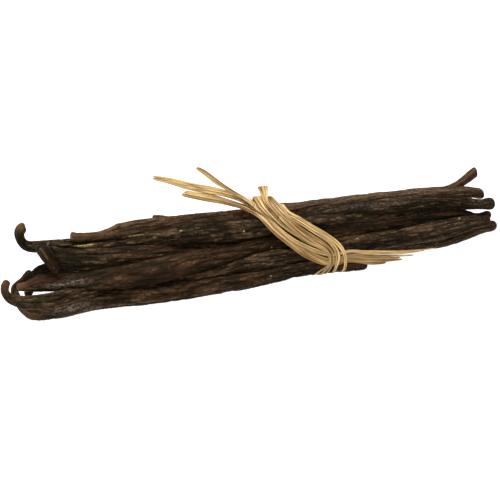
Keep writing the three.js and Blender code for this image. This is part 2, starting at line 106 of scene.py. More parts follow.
def add_node(tree, kind, settings=None, **inputs):
    """Adds a node. An input takes a value, an output to link, or a node that has one output.

    An input is named with _ for each space, or is _ and its number where names repeat.
    """
    node = tree.nodes.new(kind)
    for name, value in (settings or {}).items():
        setattr(node, name, value)
    for name, value in inputs.items():
        key = int(name[1:]) if name[1:].isdigit() else name.replace("_", " ")
        if isinstance(value, bpy.types.Node):
            value = next(output for output in value.outputs if output.enabled)
        if isinstance(value, bpy.types.NodeSocket):
            tree.links.new(value, node.inputs[key])
        else:
            node.inputs[key].default_value = value
    return node


def set_stops(ramp, stops):
    """Gives a colour ramp its colours. Stops are pairs of a place and a hex value, in order."""
    elements = ramp.color_ramp.elements
    while len(elements) < len(stops):
        elements.new(0.5)
    for element, (place, colour) in zip(elements, stops):
        element.position = place
        element.color = linear(colour)


def new_material(name):
    material = bpy.data.materials.new(name)
    material.use_nodes = True
    material.node_tree.nodes.clear()
    return material, material.node_tree


def select_only(piece):
    bpy.ops.object.select_all(action="DESELECT")
    piece.select_set(True)
    bpy.context.view_layer.objects.active = piece


# %% [markdown]
# ## Table
#
# The bundle lies on a plain white ground that shows no shadow. A white sheet would still catch
# one, so the table is a light table: a painted sheet that glows white and washes the shadow away.
# The paint itself is grey, because a brighter one would throw more light back onto the dark pods
# from below. It is matt, so its roughness is close to one. The table lies a hair below the
# ground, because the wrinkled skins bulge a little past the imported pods.

# %% Table
TABLE_SIZE = 4000 * MM
TABLE_HEIGHT = -0.3 * MM

bpy.context.scene.view_settings.view_transform = "Standard"
bpy.ops.mesh.primitive_plane_add(size=TABLE_SIZE, location=(0, 0, TABLE_HEIGHT))
table = bpy.context.active_object
table.name = "table"
table_paint, tree = new_material("light table")
shader = add_node(tree, "ShaderNodeBsdfPrincipled", Base_Color=linear("#807f7d"), Roughness=0.9,
                  Emission_Color=linear("#ffffff"), Emission_Strength=1.0)
add_node(tree, "ShaderNodeOutputMaterial", Surface=shader)
table.data.materials.append(table_paint)
print("table is", table.dimensions.x, "m wide")


# %% [markdown]
# ## Lamps
#
# A dark, slightly oily thing needs large soft lamps. A small lamp or a sun would leave hard white
# dots on every wrinkle. One big lamp overhead gives each pod a dull highlight along its top and
# leaves its lower side dark, which is what shows the wrinkles. A weaker one from the front opens
# the shadows under the pile. The plain Standard view keeps dark browns as deep as their hex
# values say.

# %% Lamps
WORLD_STRENGTH = 0.12


def soft_lamp(name, location, size, watts):
    bpy.ops.object.light_add(type="AREA", location=location)
    lamp = bpy.context.active_object
    lamp.name = name
    lamp.data.shape = "SQUARE"
    lamp.data.size = size
    lamp.data.energy = watts
    lamp.rotation_euler = (-Vector(location)).to_track_quat("-Z", "Y").to_euler()
    print(name, "at", location, "m:", size, "m wide,", watts, "W")


soft_lamp("overhead softbox", (-0.2, 0.25, 0.9), 0.6, 19.5)
soft_lamp("front fill", (-0.4, -0.9, 0.6), 0.7, 9.5)
world = bpy.data.worlds.new("pale studio")
bpy.context.scene.world = world
world.use_nodes = True
background = world.node_tree.nodes["Background"]
background.inputs["Color"].default_value = linear("#ffffff")
background.inputs["Strength"].default_value = WORLD_STRENGTH


# %% [markdown]
# ## Reading a pod as rings
#
# A pod is one long tube. It could be modelled anew along a curve, but its path and thicknesses are
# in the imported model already, as twelve-sided rings with a point in the middle of each end. So
# the model's own mesh is copied and read. The copy is merged into one skin first. Then the rings
# are found by walking from one end point to the other: the neighbours of the point are the first
# ring, their neighbours are the next one, and so on.

# %% Copy a node
SIDES = 12
MERGE_WITHIN = 0.001 * MM


def clean_copy(node, name):
    piece = bpy.data.objects.new(name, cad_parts[node].data.copy())
    piece.data.name = name
    piece.data.materials.clear()
    bpy.context.scene.collection.objects.link(piece)
    select_only(piece)
    bpy.ops.object.mode_set(mode="EDIT")
    bpy.ops.mesh.select_all(action="SELECT")
    bpy.ops.mesh.remove_doubles(threshold=MERGE_WITHIN)
    bpy.ops.object.mode_set(mode="OBJECT")
    return piece


# %% Walk from ring to ring
def neighbours(vert):
    return [edge.other_vert(vert) for edge in vert.link_edges]


def levels_from(start):
    """How many edges each point is away from the start, and the points of each such level."""
    level = {start: 0}
    levels = [[start]]
    while levels[-1]:
        following = []
        for vert in levels[-1]:
            for other in neighbours(vert):
                if other not in level:
                    level[other] = len(levels)
                    following.append(other)
        levels.append(following)
    return level, levels[:-1]


def walk_rings(start):
    """The rings from the start point on, each in step with the last, and the end point."""
    level, levels = levels_from(start)
    first = [levels[1][0]]
    while len(first) < SIDES:
        beside = neighbours(first[-1])
        first.append(next(v for v in beside if level[v] == 1 and v not in first))
    rings = [first]
    for number in range(2, len(levels) - 1):
        last = rings[-1]
        onward = [{v for v in neighbours(vert) if level[v] == number} for vert in last]
        straight_on = [(onward[k] & onward[k - 1]).pop() for k in range(SIDES)]
        turned = straight_on[1:] + straight_on[:1]
        spans = [sum((a.co - b.co).length for a, b in zip(last, ring))
                 for ring in (straight_on, turned)]
        rings.append(straight_on if spans[0] < spans[1] else turned)
    return rings, levels[-1][0]


# %% [markdown]
# ## The straight rod
#
# The wrinkles of a pod follow it round every hook and bend. A pattern made in the room's own
# directions would cut across the hooks instead. So every point also gets its straight place: the
# place that it would have, in millimetres, if the pod were pulled out into a straight rod. The
# rings tell it: how far along the point is, and how far round.
#
# The diagonals between the rings are dissolved, which leaves clean four-sided faces that
# subdivide well, and long faces are cut across once, so that the skin has enough points for fine
# wrinkles. A crease keeps the rim of a cut end sharp, while the subdivision rounds all the rest.

# %% Straight places
ROD_RADIUS = 3.0
CUT_CREASE = 0.75
# Faces longer than this, in mm, are cut across.
LONGEST_SPAN = 2.2


def dissolve_diagonals(mesh, rings):
    place = {vert: (i, k) for i, ring in enumerate(rings) for k, vert in enumerate(ring)}
    diagonals = []
    for edge in mesh.edges:
        one, other = (place.get(vert) for vert in edge.verts)
        if one and other and one[0] != other[0] and one[1] != other[1]:
            diagonals.append(edge)
    bmesh.ops.dissolve_edges(mesh, edges=diagonals, use_verts=False)


def straighten(piece, cut_ends):
    """Stores straight and girth on every point of a pod, in mm, and returns its length."""
    mesh = bmesh.new()
    mesh.from_mesh(piece.data)
    crease = mesh.edges.layers.float.new("crease_edge")
    straight = mesh.verts.layers.float_vector.new("straight")
    girth = mesh.verts.layers.float.new("girth")
    poles = [v for v in mesh.verts if len(v.link_edges) == SIDES]
    start = min(poles, key=lambda v: v.co.x)
    rings, end = walk_rings(start)
    dissolve_diagonals(mesh, rings)
    for ring in [rings[k] for k in cut_ends]:
        for a, b in zip(ring, ring[1:] + ring[:1]):
            mesh.edges.get((a, b))[crease] = CUT_CREASE
    middles = [sum((v.co for v in ring), Vector()) / SIDES for ring in rings]
    along = [0.0]
    for a, b in zip(middles, middles[1:]):
        along.append(along[-1] + (b - a).length / MM)
    for s, middle, ring in zip(along, middles, rings):
        radius = sum((v.co - middle).length for v in ring) / SIDES / MM
        for k, vert in enumerate(ring):
            turn = 2 * math.pi * k / SIDES
            vert[straight] = (ROD_RADIUS * math.cos(turn), ROD_RADIUS * math.sin(turn), s)
            vert[girth] = radius
    for vert, s, ring in ((start, 0.0, rings[0]), (end, along[-1], rings[-1])):
        vert[straight] = (0.0, 0.0, s)
        vert[girth] = ring[0][girth]
    long_edges = []
    for i in range(len(rings) - 1):
        if along[i + 1] - along[i] > LONGEST_SPAN:
            long_edges += [mesh.edges.get(pair) for pair in zip(rings[i], rings[i + 1])]
    bmesh.ops.subdivide_edges(mesh, edges=long_edges, cuts=1)
    mesh.to_mesh(piece.data)
    mesh.free()
    return along[-1]


# %% [markdown]
# ## The height of the skin
#
# A pod is cured for months. It dries from a smooth green finger to a thin leathery one, and its
# skin folds into long ridges that wander, join and fade. The valleys between them are sharp and
# the crests are round. They could be sculpted by hand, ridge by ridge, or only painted as a bump.
# Nine pods are too many to sculpt, and a bump leaves the outline smooth, so the height is worked
# out at every point from its straight place.
#
# Smooth noise changes sign along long winding lines. Where it does, its size is zero, so its size
# alone has a sharp valley along each of these lines and a round crest between them. Stretched
# along the pod, that gives ridges that meet and part as the real ones do. Several sizes of them
# are added: broad furrows, the main wrinkles, fine ones between, and short ripples across, where
# the skin has crumpled lengthwise. All of them lean a little to one side and to the other, so
# that they don't run dead straight.

# %% Height of the skin
WRINKLES = (
    # spacing round the pod, length along it and depth in mm, and share of the painted wrinkle
    # shade
    (3.0, 34.0, 0.38, 0.28),
    (1.2, 13.0, 0.46, 0.36),
    (0.62, 5.0, 0.24, 0.24),
    (2.4, 1.2, 0.1, 0.12),
)
RELIEF = sum(depth for _, _, depth, _ in WRINKLES)
# A crest begins where the size of the noise passes this, and a lower power makes it rounder.
CREST = 0.3
CREST_POWER = 0.8
# The wrinkles lean by this angle in radians, to one side and the other over this run in mm.
LEAN = 0.45
LEAN_RUN = 20.0
# Steps through the noise, so that no two pods, and no two sizes of wrinkle, are alike.
NEXT_POD = 7.3
NEXT_SIZE = 31.7
NEXT_LEAN = 3.7
LEAN_PLANE = 0.5


def ridge(*place):
    """0 in a sharp valley of the noise, rising to 1 on its crests."""
    return min(abs(noise.noise(Vector(place))) / CREST, 1.0)


def skin_height(place, seed):
    """The height of the skin at a straight place and its painted shade, both from 0 to 1."""
    x, y, s = place
    turn = LEAN * noise.noise(Vector((s / LEAN_RUN, seed * NEXT_LEAN, LEAN_PLANE)))
    c, d = math.cos(turn), math.sin(turn)
    x, y = c * x - d * y, d * x + c * y
    height = painted_wrinkle_shade = 0.0
    for n, (spacing, run, depth, share) in enumerate(WRINKLES):
        apart = seed * NEXT_POD + n * NEXT_SIZE
        fold = ridge(x / spacing, y / spacing, s / run + apart) ** CREST_POWER
        height += fold * depth / RELIEF
        painted_wrinkle_shade += fold * share
    return height, painted_wrinkle_shade


print("deepest relief of the skin in mm:", round(RELIEF, 2))

# %% [markdown]
# ## Marks on the skin
#
# Some marks sit at one place of one pod: bumps, pale flecks of dried resin and the tan colour of a
# dry end. Two more kinds are painted light: painted highlights, pale pinkish patches in place of
# the oily shine, and painted shade, which darkens stalk ends that lie in the shade of the pile.
# They could be painted on an image, but a short list is easier to read and to change. Each mark is
# written as its pod, how far it is along it, how far round it in degrees, its length and width,
# and its strength. A mark fades out softly from its middle, and one that is wider than the pod
# goes all the way round.

# %% Marks
ALL_ROUND = 99.0
MARKS = {
    # pod, mm along, degrees round, half length in mm, half width in mm, strength
    "bump": [
        ("pod_top", 16.5, 55, 1.5, 1.5, 0.6),
        ("pod_thick", 54.3, 116, 1.8, 1.0, 0.35),
        ("pod_thick", 8.0, -20, 2.0, 3.0, 0.4),
    ],
    "fleck": [
        ("pod_tall_hook", 27.7, -93, 2.2, 0.3, 1.0),
        ("pod_tall_hook", 30.5, -84, 1.2, 0.22, 0.8),
        ("pod_tall_hook", 46.0, -44, 3.0, 0.22, 0.8),
        ("pod_tall_hook", 62.0, -56, 0.3, 0.22, 0.6),
        ("pod_tall_hook", 83.3, -90, 0.22, 0.22, 1.0),
        ("pod_front_hook", 131.2, 101, 0.3, 0.2, 1.0),
        ("pod_front_hook", 169.9, 79, 0.22, 0.2, 0.9),
        ("pod_thick", 88.5, 135, 0.22, 0.2, 0.8),
        ("pod_looped", 101.3, 86, 0.22, 0.2, 0.8),
    ],
    # painted highlights: pale pinkish patches in place of the oily shine
    "painted_highlight": [
        ("pod_looped", 31.0, 98, 6.5, 1.6, 0.9),
        ("pod_thick", 12.5, 132, 3.5, 0.7, 0.9),
        ("pod_thick", 19.0, 112, 5.0, 1.0, 0.45),
        ("pod_front_hook", 27.0, 70, 5.0, 1.0, 0.35),
        ("pod_top", 104.0, 42, 24.0, 1.4, 0.42),
        ("pod_top", 124.0, 84, 13.0, 1.0, 0.35),
        ("pod_tall_hook", 134.0, -50, 18.0, 1.1, 0.22),
        ("pod_thick", 134.0, 78, 18.0, 1.4, 0.25),
    ],
    "tan": [
        ("pod_thick", 0.0, 0, 3.0, ALL_ROUND, 0.5),
        ("pod_tall_hook", 0.0, 0, 2.2, ALL_ROUND, 0.3),
        ("pod_top", 0.0, 0, 3.0, ALL_ROUND, 0.25),
        ("pod_front_hook", 0.0, 0, 4.0, ALL_ROUND, 0.3),
        ("pod_looped", 16.5, 64, 5.0, 1.6, 0.4),
    ],
    # painted shade: stalk ends darkened where the pile shades them
    "painted_stalk_shade": [
        ("pod_looped", 0.0, 0, 7.0, ALL_ROUND, 0.8),
        ("pod_arched", 0.0, 0, 12.0, ALL_ROUND, 0.6),
        ("pod_tall_hook", 9.0, 0, 5.0, ALL_ROUND, 0.4),
        ("pod_curled", 5.0, 0, 7.0, ALL_ROUND, 0.5),
    ],
}


def marks_on(node, kind, straight):
    """How strongly each point of a pod is marked, from 0 to 1."""
    turn = np.degrees(np.arctan2(straight[:, 1], straight[:, 0]))
    total = np.zeros(len(straight))
    for pod, along, degrees, long, wide, strength in MARKS[kind]:
        if pod == node:
            off_turn = np.radians((turn - degrees + 180) % 360 - 180) * ROD_RADIUS
            off_along = straight[:, 2] - along
            total += strength * np.exp(-((off_along / long) ** 2) - (off_turn / wide) ** 2)
    return np.clip(total, 0, 1)


print({kind: len(places) for kind, places in MARKS.items()})

# %% [markdown]
# ## Shaping the skin
#
# The heights go into a vertex group, and a Displace modifier lifts the skin by them, which is how
# the same shape would be painted by hand. The pod is first drawn in by half a millimetre, so that
# it doesn't grow too thick under its wrinkles. Thin stalks and the ends are smoother than the
# middle, and a thin stalk is plumped up a little, so that it doesn't look starved.
#
# Under the raffia the pods are pressed in, as the tight tie does. The tie runs slantwise over the
# pile, along a line where x and y add up to the same sum, so the distance from that line says how
# hard a point is pressed.

# %% Shape the skin
# How far a pod is drawn in before its relief is added, and how far a thin stalk is pushed out.
SHRINK = 0.52 * MM
PLUMP = 0.3 * MM
# The relief of the thinnest and the thickest parts, and of the ends, as shares of the full one.
SLIMMEST = 0.25
STOUTEST = 1.1
END_RELIEF = 0.3
END_RUN = 4.0
# The sum of x and y along the tie, and how far off it the press fades, in mm. A higher even power
# presses more evenly up to there.
TIE_SUM = 9.5
TIE_REACH = 11.0
TIE_POWER = 4
TIE_PRESS = 0.42 * MM


def read(items, what, parts):
    """One row of numbers for each item of a mesh."""
    values = np.zeros(len(items) * parts, np.float32)
    items.foreach_get(what, values)
    return values.reshape(-1, parts)


def keep(piece, name, values):
    """Keeps a number on each point of a piece, for its material to read."""
    layer = piece.data.attributes.new(name, "FLOAT", "POINT")
    layer.data.foreach_set("value", np.array(values, np.float32))


def push_out(piece, name, weights, distance):
    """Moves the skin along its normals, each point by its weight, with a Displace modifier."""
    group = piece.vertex_groups.new(name=name)
    for i, weight in enumerate(weights):
        group.add((i,), min(float(weight), 1.0), "REPLACE")
    select_only(piece)
    push = piece.modifiers.new(name, "DISPLACE")
    push.vertex_group = name
    push.strength = distance
    push.mid_level = 0.0
    bpy.ops.object.modifier_apply(modifier=push.name)


def wrinkle(piece, node, seed, length):
    data = piece.data
    straight = read(data.attributes["straight"].data, "vector", 3)
    girth = read(data.attributes["girth"].data, "value", 1)[:, 0]
    place = read(data.vertices, "co", 3)
    skin = np.array([skin_height(map(float, point), seed) for point in straight])
    marks = {kind: marks_on(node, kind, straight) for kind in MARKS}
    bumps = marks.pop("bump")
    for kind, strengths in marks.items():
        keep(piece, kind, strengths)
    keep(piece, "painted_wrinkle_shade", skin[:, 1])
    size = np.clip(girth / ROD_RADIUS, SLIMMEST, STOUTEST)
    from_end = np.minimum(straight[:, 2], length - straight[:, 2])
    bulk = size * np.clip(END_RELIEF + from_end / END_RUN, END_RELIEF, 1.0)
    off_tie = (place[:, 0] + place[:, 1]) / MM - TIE_SUM
    push_out(piece, "bulk", bulk, -SHRINK)
    push_out(piece, "height", skin[:, 0] * bulk, RELIEF * MM)
    push_out(piece, "plump", np.clip(2 - 2 * size, 0, 1), PLUMP)
    push_out(piece, "tied", np.exp(-((off_tie / TIE_REACH) ** TIE_POWER)), -TIE_PRESS)
    if bumps.max() > 0:
        push_out(piece, "bump", bumps, MM)


# %% [markdown]
# ## The nine pods
#
# Each pod is copied, straightened, rounded by a subdivision and then wrinkled. The pods of one
# bundle differ in colour: the ones that dried faster are paler and redder, and the oiliest are
# nearly black. So each pod has its own seed for its wrinkles, and says how light and how red it
# is. Two of the pods were cut off at one end, and keep a sharp rim there.

# %% Pods
SKIN_LEVELS = 3
PODS = {
    # pod: seed of its wrinkles, how light it is, how red it is
    "pod_tall_hook": (1, -0.04, -0.3),
    "pod_top": (2, 0.2, 0.35),
    "pod_curled": (3, -0.03, 0.0),
    "pod_arched": (4, -0.12, -0.3),
    "pod_under": (5, 0.0, 0.1),
    "pod_looped": (6, 0.0, 0.1),
    "pod_thick": (7, -0.16, 0.15),
    "pod_front_hook": (8, 0.0, 0.0),
    "pod_upturned": (9, 0.18, 0.35),
}
CUT_ENDS = {"pod_top": (0,), "pod_upturned": (-1,)}


def round_off(piece, levels):
    select_only(piece)
    smooth = piece.modifiers.new("smooth", "SUBSURF")
    smooth.levels = smooth.render_levels = levels
    bpy.ops.object.modifier_apply(modifier=smooth.name)


def cured_pod(node, seed, light, red):
    piece = clean_copy(node, node.replace("pod", "skin"))
    length = straighten(piece, CUT_ENDS.get(node, ()))
    round_off(piece, SKIN_LEVELS)
    wrinkle(piece, node, seed, length)
    count = len(piece.data.vertices)
    keep(piece, "light", [light] * count)
    keep(piece, "red", [red] * count)
    bpy.ops.object.shade_smooth()
    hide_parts(node)
    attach(piece, "root")
    print(piece.name, "points:", count, "length mm:", round(length, 1))
    return piece


pods = [cured_pod(node, *traits) for node, traits in PODS.items()]


# %% [markdown]
# ## Patterns with a real size
#
# A pattern of noise or cells is one unit wide unless its space is scaled. Both materials here need
# patterns that are longer along the piece than across it, in a space measured in millimetres. So
# a pattern is given the real size of one of its grains, and its space is divided by it.
#
# Dried skin is also crossed by a net of winding creases. The borders between Voronoi cells make
# such a net, and they meet in corners, as real creases do. Noise bends them a little first,
# because straight ones would look like cracked mud.

# %% Grain and creases
# How far the noise bends a crease, in mm: two directions across the piece, and along it.
CREASE_BEND = (0.5, 0.5, 2.0)


def grain(tree, space, size, **values):
    """Noise with grains of a size in mm, along each axis of the space."""
    divided = add_node(tree, "ShaderNodeMapping", Vector=space, Scale=[1 / mm for mm in size])
    return add_node(tree, "ShaderNodeTexNoise", Vector=divided, Scale=1.0, **values)


def crease_net(tree, space, size, width):
    """0 along a net of winding creases of a width in mm, and 1 between them."""
    bend = grain(tree, space, [mm / 2 for mm in size], Detail=2.0)
    bent = add_node(tree, "ShaderNodeVectorMath", {"operation": "MULTIPLY_ADD"},
                    _0=bend.outputs["Color"], _1=CREASE_BEND, _2=space)
    divided = add_node(tree, "ShaderNodeMapping", Vector=bent, Scale=[1 / mm for mm in size])
    cells = add_node(tree, "ShaderNodeTexVoronoi", {"feature": "DISTANCE_TO_EDGE"},
                     Vector=divided, Scale=1.0)
    return add_node(tree, "ShaderNodeMapRange", Value=cells, From_Max=width / size[0])


# %% [markdown]
# ## Cured pod skin
#
# Cured vanilla skin is plant leather: dark brown, almost black in the creases, redder where it is
# thin, and slightly oily. The oil gives it a dull shine, so its roughness is middling and its
# index of refraction is that of a plant oil, about 1.47. Its highlights are weak and warm.
#
# The colour could be an image wrapped round each pod. Worked out from the straight place and the
# marks, it follows every hook without a seam. One number, the lightness, picks a brown from a
# ramp. Fine fibres and broad patches raise or lower it, and so does painted shade and light: the
# valleys of the wrinkles and the creases are darker, the crests lighter, and stalk ends in the
# shade of the pile darker still. Then the patches redden the brown, dry ends and resin tint it,
# and painted highlights give some places a pale pinkish shine. The fibres of real skin are finer
# than the view can show, so they are drawn half a millimetre wide.

# %% Pod material
# The size of one grain of each pattern, in mm: two directions across the pod, and along it.
FIBRE = (0.5263, 0.5263, 1.0)
PATCH = (3.333, 3.333, 16.67)
RESIN_LACE = (0.3846, 0.3846, 0.7692)
# The same of the cells between the creases, and the width of a crease.
BROAD_CREASE = ((1.667, 1.667, 8.333), 0.283)
FINE_CREASE = ((0.909, 0.909, 3.846), 0.1455)
OIL_IOR = 1.47
SKIN_BUMP = 0.45 * MM

pod_skin, tree = new_material("cured vanilla skin")
rod = add_node(tree, "ShaderNodeAttribute", {"attribute_name": "straight"}).outputs["Vector"]
kept = {
    name: add_node(tree, "ShaderNodeAttribute", {"attribute_name": name}).outputs["Fac"]
    for name in ("painted_wrinkle_shade", "light", "red", "painted_stalk_shade", "tan", "painted_highlight", "fleck")
}
fibres = grain(tree, rod, FIBRE, Detail=5.0, Roughness=0.66, Distortion=0.6)
patches = grain(tree, rod, PATCH, Detail=3.0, Roughness=0.55)
lace = grain(tree, rod, RESIN_LACE, Detail=3.0)
creases = add_node(tree, "ShaderNodeMath", {"operation": "MULTIPLY"},
                   _0=crease_net(tree, rod, *BROAD_CREASE),
                   _1=crease_net(tree, rod, *FINE_CREASE))

# %% Lightness of the skin
SHADES = (
    # what shades the skin, from which value to which, and the lightness added at either
    # painted shade and light: the valleys of the wrinkles darker, their crests lighter
    (kept["painted_wrinkle_shade"], 0.3, 0.95, 0.0, 0.5),
    (fibres, 0.32, 0.7, 0.17, 0.38),
    # painted shade: darker along the creases
    (creases, 0.0, 1.0, -0.3, 0.05),
    (patches, 0.35, 0.65, -0.1, 0.1),
    # painted shade on stalk ends that lie in the shade of the pile
    (kept["painted_stalk_shade"], 0.0, 1.0, 0.0, -0.35),
)
lightness = kept["light"]
for cause, low, high, at_low, at_high in SHADES:
    added = add_node(tree, "ShaderNodeMapRange", Value=cause, From_Min=low, From_Max=high,
                     To_Min=at_low, To_Max=at_high)
    lightness = add_node(tree, "ShaderNodeMath", _0=lightness, _1=added)
browns = add_node(tree, "ShaderNodeValToRGB", Fac=lightness)
set_stops(browns, ((0.2, "#0a0904"), (0.48, "#291f13"), (0.9, "#5c4a36")))

# %% Tints of the skin
TINTS = (
    # mark, the pattern that breaks it up, from which value to which, least share, and colour
    ("tan", fibres, 0.25, 0.7, 0.4, "#86603f"),
    # painted highlight: a pale pinkish grey shine
    ("painted_highlight", fibres, 0.42, 0.6, 0.0, "#857468"),
    ("fleck", lace, 0.4, 0.56, 0.12, "#e8cc8c"),
)
patch_red = add_node(tree, "ShaderNodeMapRange", Value=patches, From_Min=0.38, From_Max=0.66,
                     To_Min=-0.1, To_Max=0.58)
redness = add_node(tree, "ShaderNodeMath", _0=patch_red, _1=kept["red"])
red_share = add_node(tree, "ShaderNodeMapRange", Value=redness, From_Min=0.1, From_Max=1.1,
                     To_Max=0.6)
colour = add_node(tree, "ShaderNodeMix", {"data_type": "RGBA"}, _0=red_share, _6=browns,
                  _7=linear("#432716"))
for mark, pattern, low, high, least, tint in TINTS:
    broken_up = add_node(tree, "ShaderNodeMapRange", Value=pattern, From_Min=low, From_Max=high,
                         To_Min=least)
    share = add_node(tree, "ShaderNodeMath", {"operation": "MULTIPLY"}, _0=kept[mark],
                     _1=broken_up)
    colour = add_node(tree, "ShaderNodeMix", {"data_type": "RGBA"}, _0=share, _6=colour,
                      _7=linear(tint))

# %% Surface of the skin
sunken = add_node(tree, "ShaderNodeMapRange", Value=creases, To_Min=-0.35, To_Max=0.0)
relief = add_node(tree, "ShaderNodeMath", _0=fibres, _1=sunken)
bump = add_node(tree, "ShaderNodeBump", Height=relief, Strength=1.0, Distance=SKIN_BUMP)
roughness = add_node(tree, "ShaderNodeMapRange", Value=lightness, From_Min=0.2, From_Max=0.9,
                     To_Min=0.7, To_Max=0.42)
shader = add_node(tree, "ShaderNodeBsdfPrincipled", Base_Color=colour, Roughness=roughness,
                  IOR=OIL_IOR, Specular_IOR_Level=0.2, Specular_Tint=linear("#d8b795"),
                  Normal=bump)
add_node(tree, "ShaderNodeOutputMaterial", Surface=shader)
for pod in pods:
    pod.data.materials.append(pod_skin)
print(pod_skin.name, "nodes:", len(tree.nodes))

# %% [markdown]
# ## Reading a strand as sections
#
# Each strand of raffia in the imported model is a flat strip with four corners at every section. A
# strand could be laid anew along a curve, but then it might miss the model's own path, so the
# strip is read, as the pods were. The short edges of the sections all have the strip's thickness,
# so they are easy to find. They are like posts along both edges of the strip, and a narrow side
# face joins each post to the next. Walking from post to post along both edges gives the sections:
# a middle, a vector across and a direction outward.

# %% Posts along a strip
STRIP_THICKNESS = 0.45 * MM
THICKNESS_SLACK = 0.004 * MM


def posts_of(mesh):
    """The posts of a strip, the middle of each, and which posts stand beside it."""
    posts = [e for e in mesh.edges if abs(e.calc_length() - STRIP_THICKNESS) < THICKNESS_SLACK]
    number = {vert.index: k for k, post in enumerate(posts) for vert in post.verts}
    beside = [[] for _ in posts]
    for face in mesh.faces:
        held = sorted({number.get(vert.index, -1) for vert in face.verts})
        if len(held) == 2 and held[0] >= 0 and held[1] not in beside[held[0]]:
            beside[held[0]].append(held[1])
            beside[held[1]].append(held[0])
    foot = [(post.verts[0].co + post.verts[1].co) / 2 for post in posts]
    return posts, foot, beside


def walk_posts(beside, start, following):
    chain = [start, following]
    while True:
        onward = [k for k in beside[chain[-1]] if k != chain[-2]]
        if not onward or onward[0] == start:
            return chain
        chain.append(onward[0])


def both_edges(foot, beside):
    """The posts along one edge and the other, in step, and whether the strip is a closed turn.

    A strip with ends is walked from its left one, and a closed turn from its lowest post.
    """
    ends = [k for k, near in enumerate(beside) if len(near) == 1]
    if ends:
        start = min(ends, key=lambda k: foot[k].x)
        following = beside[start][0]
    else:
        start = min(range(len(foot)), key=lambda k: (foot[k].z, foot[k].x))
        following = max(beside[start], key=lambda k: foot[k].y)
    near_edge = walk_posts(beside, start, following)
    rest = sorted(set(ends or range(len(foot))) - set(near_edge))
    mate = min(rest, key=lambda k: (foot[k] - foot[start]).length)
    forward = foot[following] - foot[start]
    mate_following = max(beside[mate], key=lambda k: (foot[k] - foot[mate]).dot(forward))
    return near_edge, walk_posts(beside, mate, mate_following), not ends


# %% Sections of a strip
# The middle of the bundle under the tie. Outward is away from it.
TIE_AXIS = Vector((0, -1.0, 9.4)) * MM


def strip_sections(node):
    """Arrays of the middles, the vectors across and the directions outward, in metres."""
    mesh = bmesh.new()
    mesh.from_mesh(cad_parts[node].data)
    bmesh.ops.remove_doubles(mesh, verts=mesh.verts, dist=MERGE_WITHIN)
    mesh.verts.index_update()
    posts, foot, beside = posts_of(mesh)
    near_edge, far_edge, closed = both_edges(foot, beside)
    sections = []
    for i, (a, b) in enumerate(zip(near_edge, far_edge)):
        middle = (foot[a] + foot[b]) / 2
        across = foot[b] - foot[a]
        outward = (posts[a].verts[1].co - posts[a].verts[0].co).normalized()
        away = Vector((0, middle.y - TIE_AXIS.y, middle.z - TIE_AXIS.z))
        if outward.dot(away) < 0:
            outward = -outward
        if i + 1 < len(near_edge):
            ahead = foot[near_edge[i + 1]] - foot[a]
        if across.dot(outward.cross(ahead)) < 0:
            across = -across
        sections.append((middle, across, outward))
    mesh.free()
    if closed:
        sections.append(sections[0])
    return [np.array([tuple(part) for part in column]) for column in zip(*sections)]


# %% [markdown]
# ## Shaping a strand
#
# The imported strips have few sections, so their middles are smoothed after they are read. Where
# the free ends stand out on the right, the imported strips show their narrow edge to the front.
# Real raffia twists on its way out, so there the strip is turned until its broad side looks up
# and to the front, and lifted a little off the pods. The twist could be modelled with a deform
# modifier, but turning the sections is simpler, and leaves the path as it is.

# %% Smooth and turn a strand
SMOOTHING_ROUNDS = 2
# The tails are turned to the right of this place, over this run, in mm.
TAILS_FROM = 31.0
TAILS_TURN = 7.0
TAILS_FACING = (0.0, -0.75, 0.66)
TAILS_LIFT = 0.4 * MM


def part_of(value, start, run):
    """0 up to the start, then rising to 1 over the run."""
    return np.clip((value - start) / run, 0.0, 1.0)


def smoothed(points, closed):
    for _ in range(SMOOTHING_ROUNDS):
        if closed:
            ring = points[:-1]
            ring = 0.25 * np.roll(ring, 1, 0) + 0.5 * ring + 0.25 * np.roll(ring, -1, 0)
            points = np.vstack([ring, ring[:1]])
        else:
            inner = 0.25 * points[:-2] + 0.5 * points[1:-1] + 0.25 * points[2:]
            points = np.vstack([points[:1], inner, points[-1:]])
    return points


def turn_tails(middles, acrosses, outwards):
    """Turns the free ends on the right until their broad side looks up and to the front."""
    share = part_of(middles[:, :1] / MM, TAILS_FROM, TAILS_TURN)
    outwards = outwards * (1 - share) + np.array([TAILS_FACING]) * share
    turned = np.cross(outwards, np.gradient(middles, axis=0))
    turned *= (np.linalg.norm(acrosses, axis=1) / np.linalg.norm(turned, axis=1))[:, None]
    return middles + outwards * share * TAILS_LIFT, turned, outwards


# %% [markdown]
# ## Slips of leaf
#
# Raffia is a strip torn from a palm leaf. It dries to a thin ribbon whose edges roll under, with
# fibres along it, and it splits along them into narrower slips. One wide ribbon with a bump on it
# would look like tape, so each strand is made of a few slips side by side, each a flat grid that
# is bent along the strand. Its edges roll down, its middle has a shallow fold, and it wanders and
# tilts a little. Where a slip ends in the open it narrows: a short point looks torn off and stays
# half as wide, and a long one runs out thin.
#
# On top of the pile the turns spread out like a fan and cover the pods there. The free ends on
# the left were less tightly twisted, so they are wider. They stand up towards the lamps, and are
# painted paler there, as painted light.

# %% Width of a slip
# On top of the pile the turns are wider, by a share, from this height on, in mm.
FAN = 0.5
FAN_FROM = 20.0
FAN_HEIGHT = 5.0
# The free ends are wider, by a share, to the left of this place, in mm.
PALE_WIDER = 0.45
PALE_FROM = -4.0
PALE_OVER = 9.0
# A point longer than this, in mm, runs out thin. A lower power makes it rounder.
LONG_POINT = 1.2
TORN_END = 0.5
FINE_END = 0.12
POINT_POWER = 0.7


def far_left(middle):
    """How far a place is out on the free ends on the left, from 0 to 1."""
    return part_of(-middle.x / MM, -PALE_FROM, PALE_OVER)


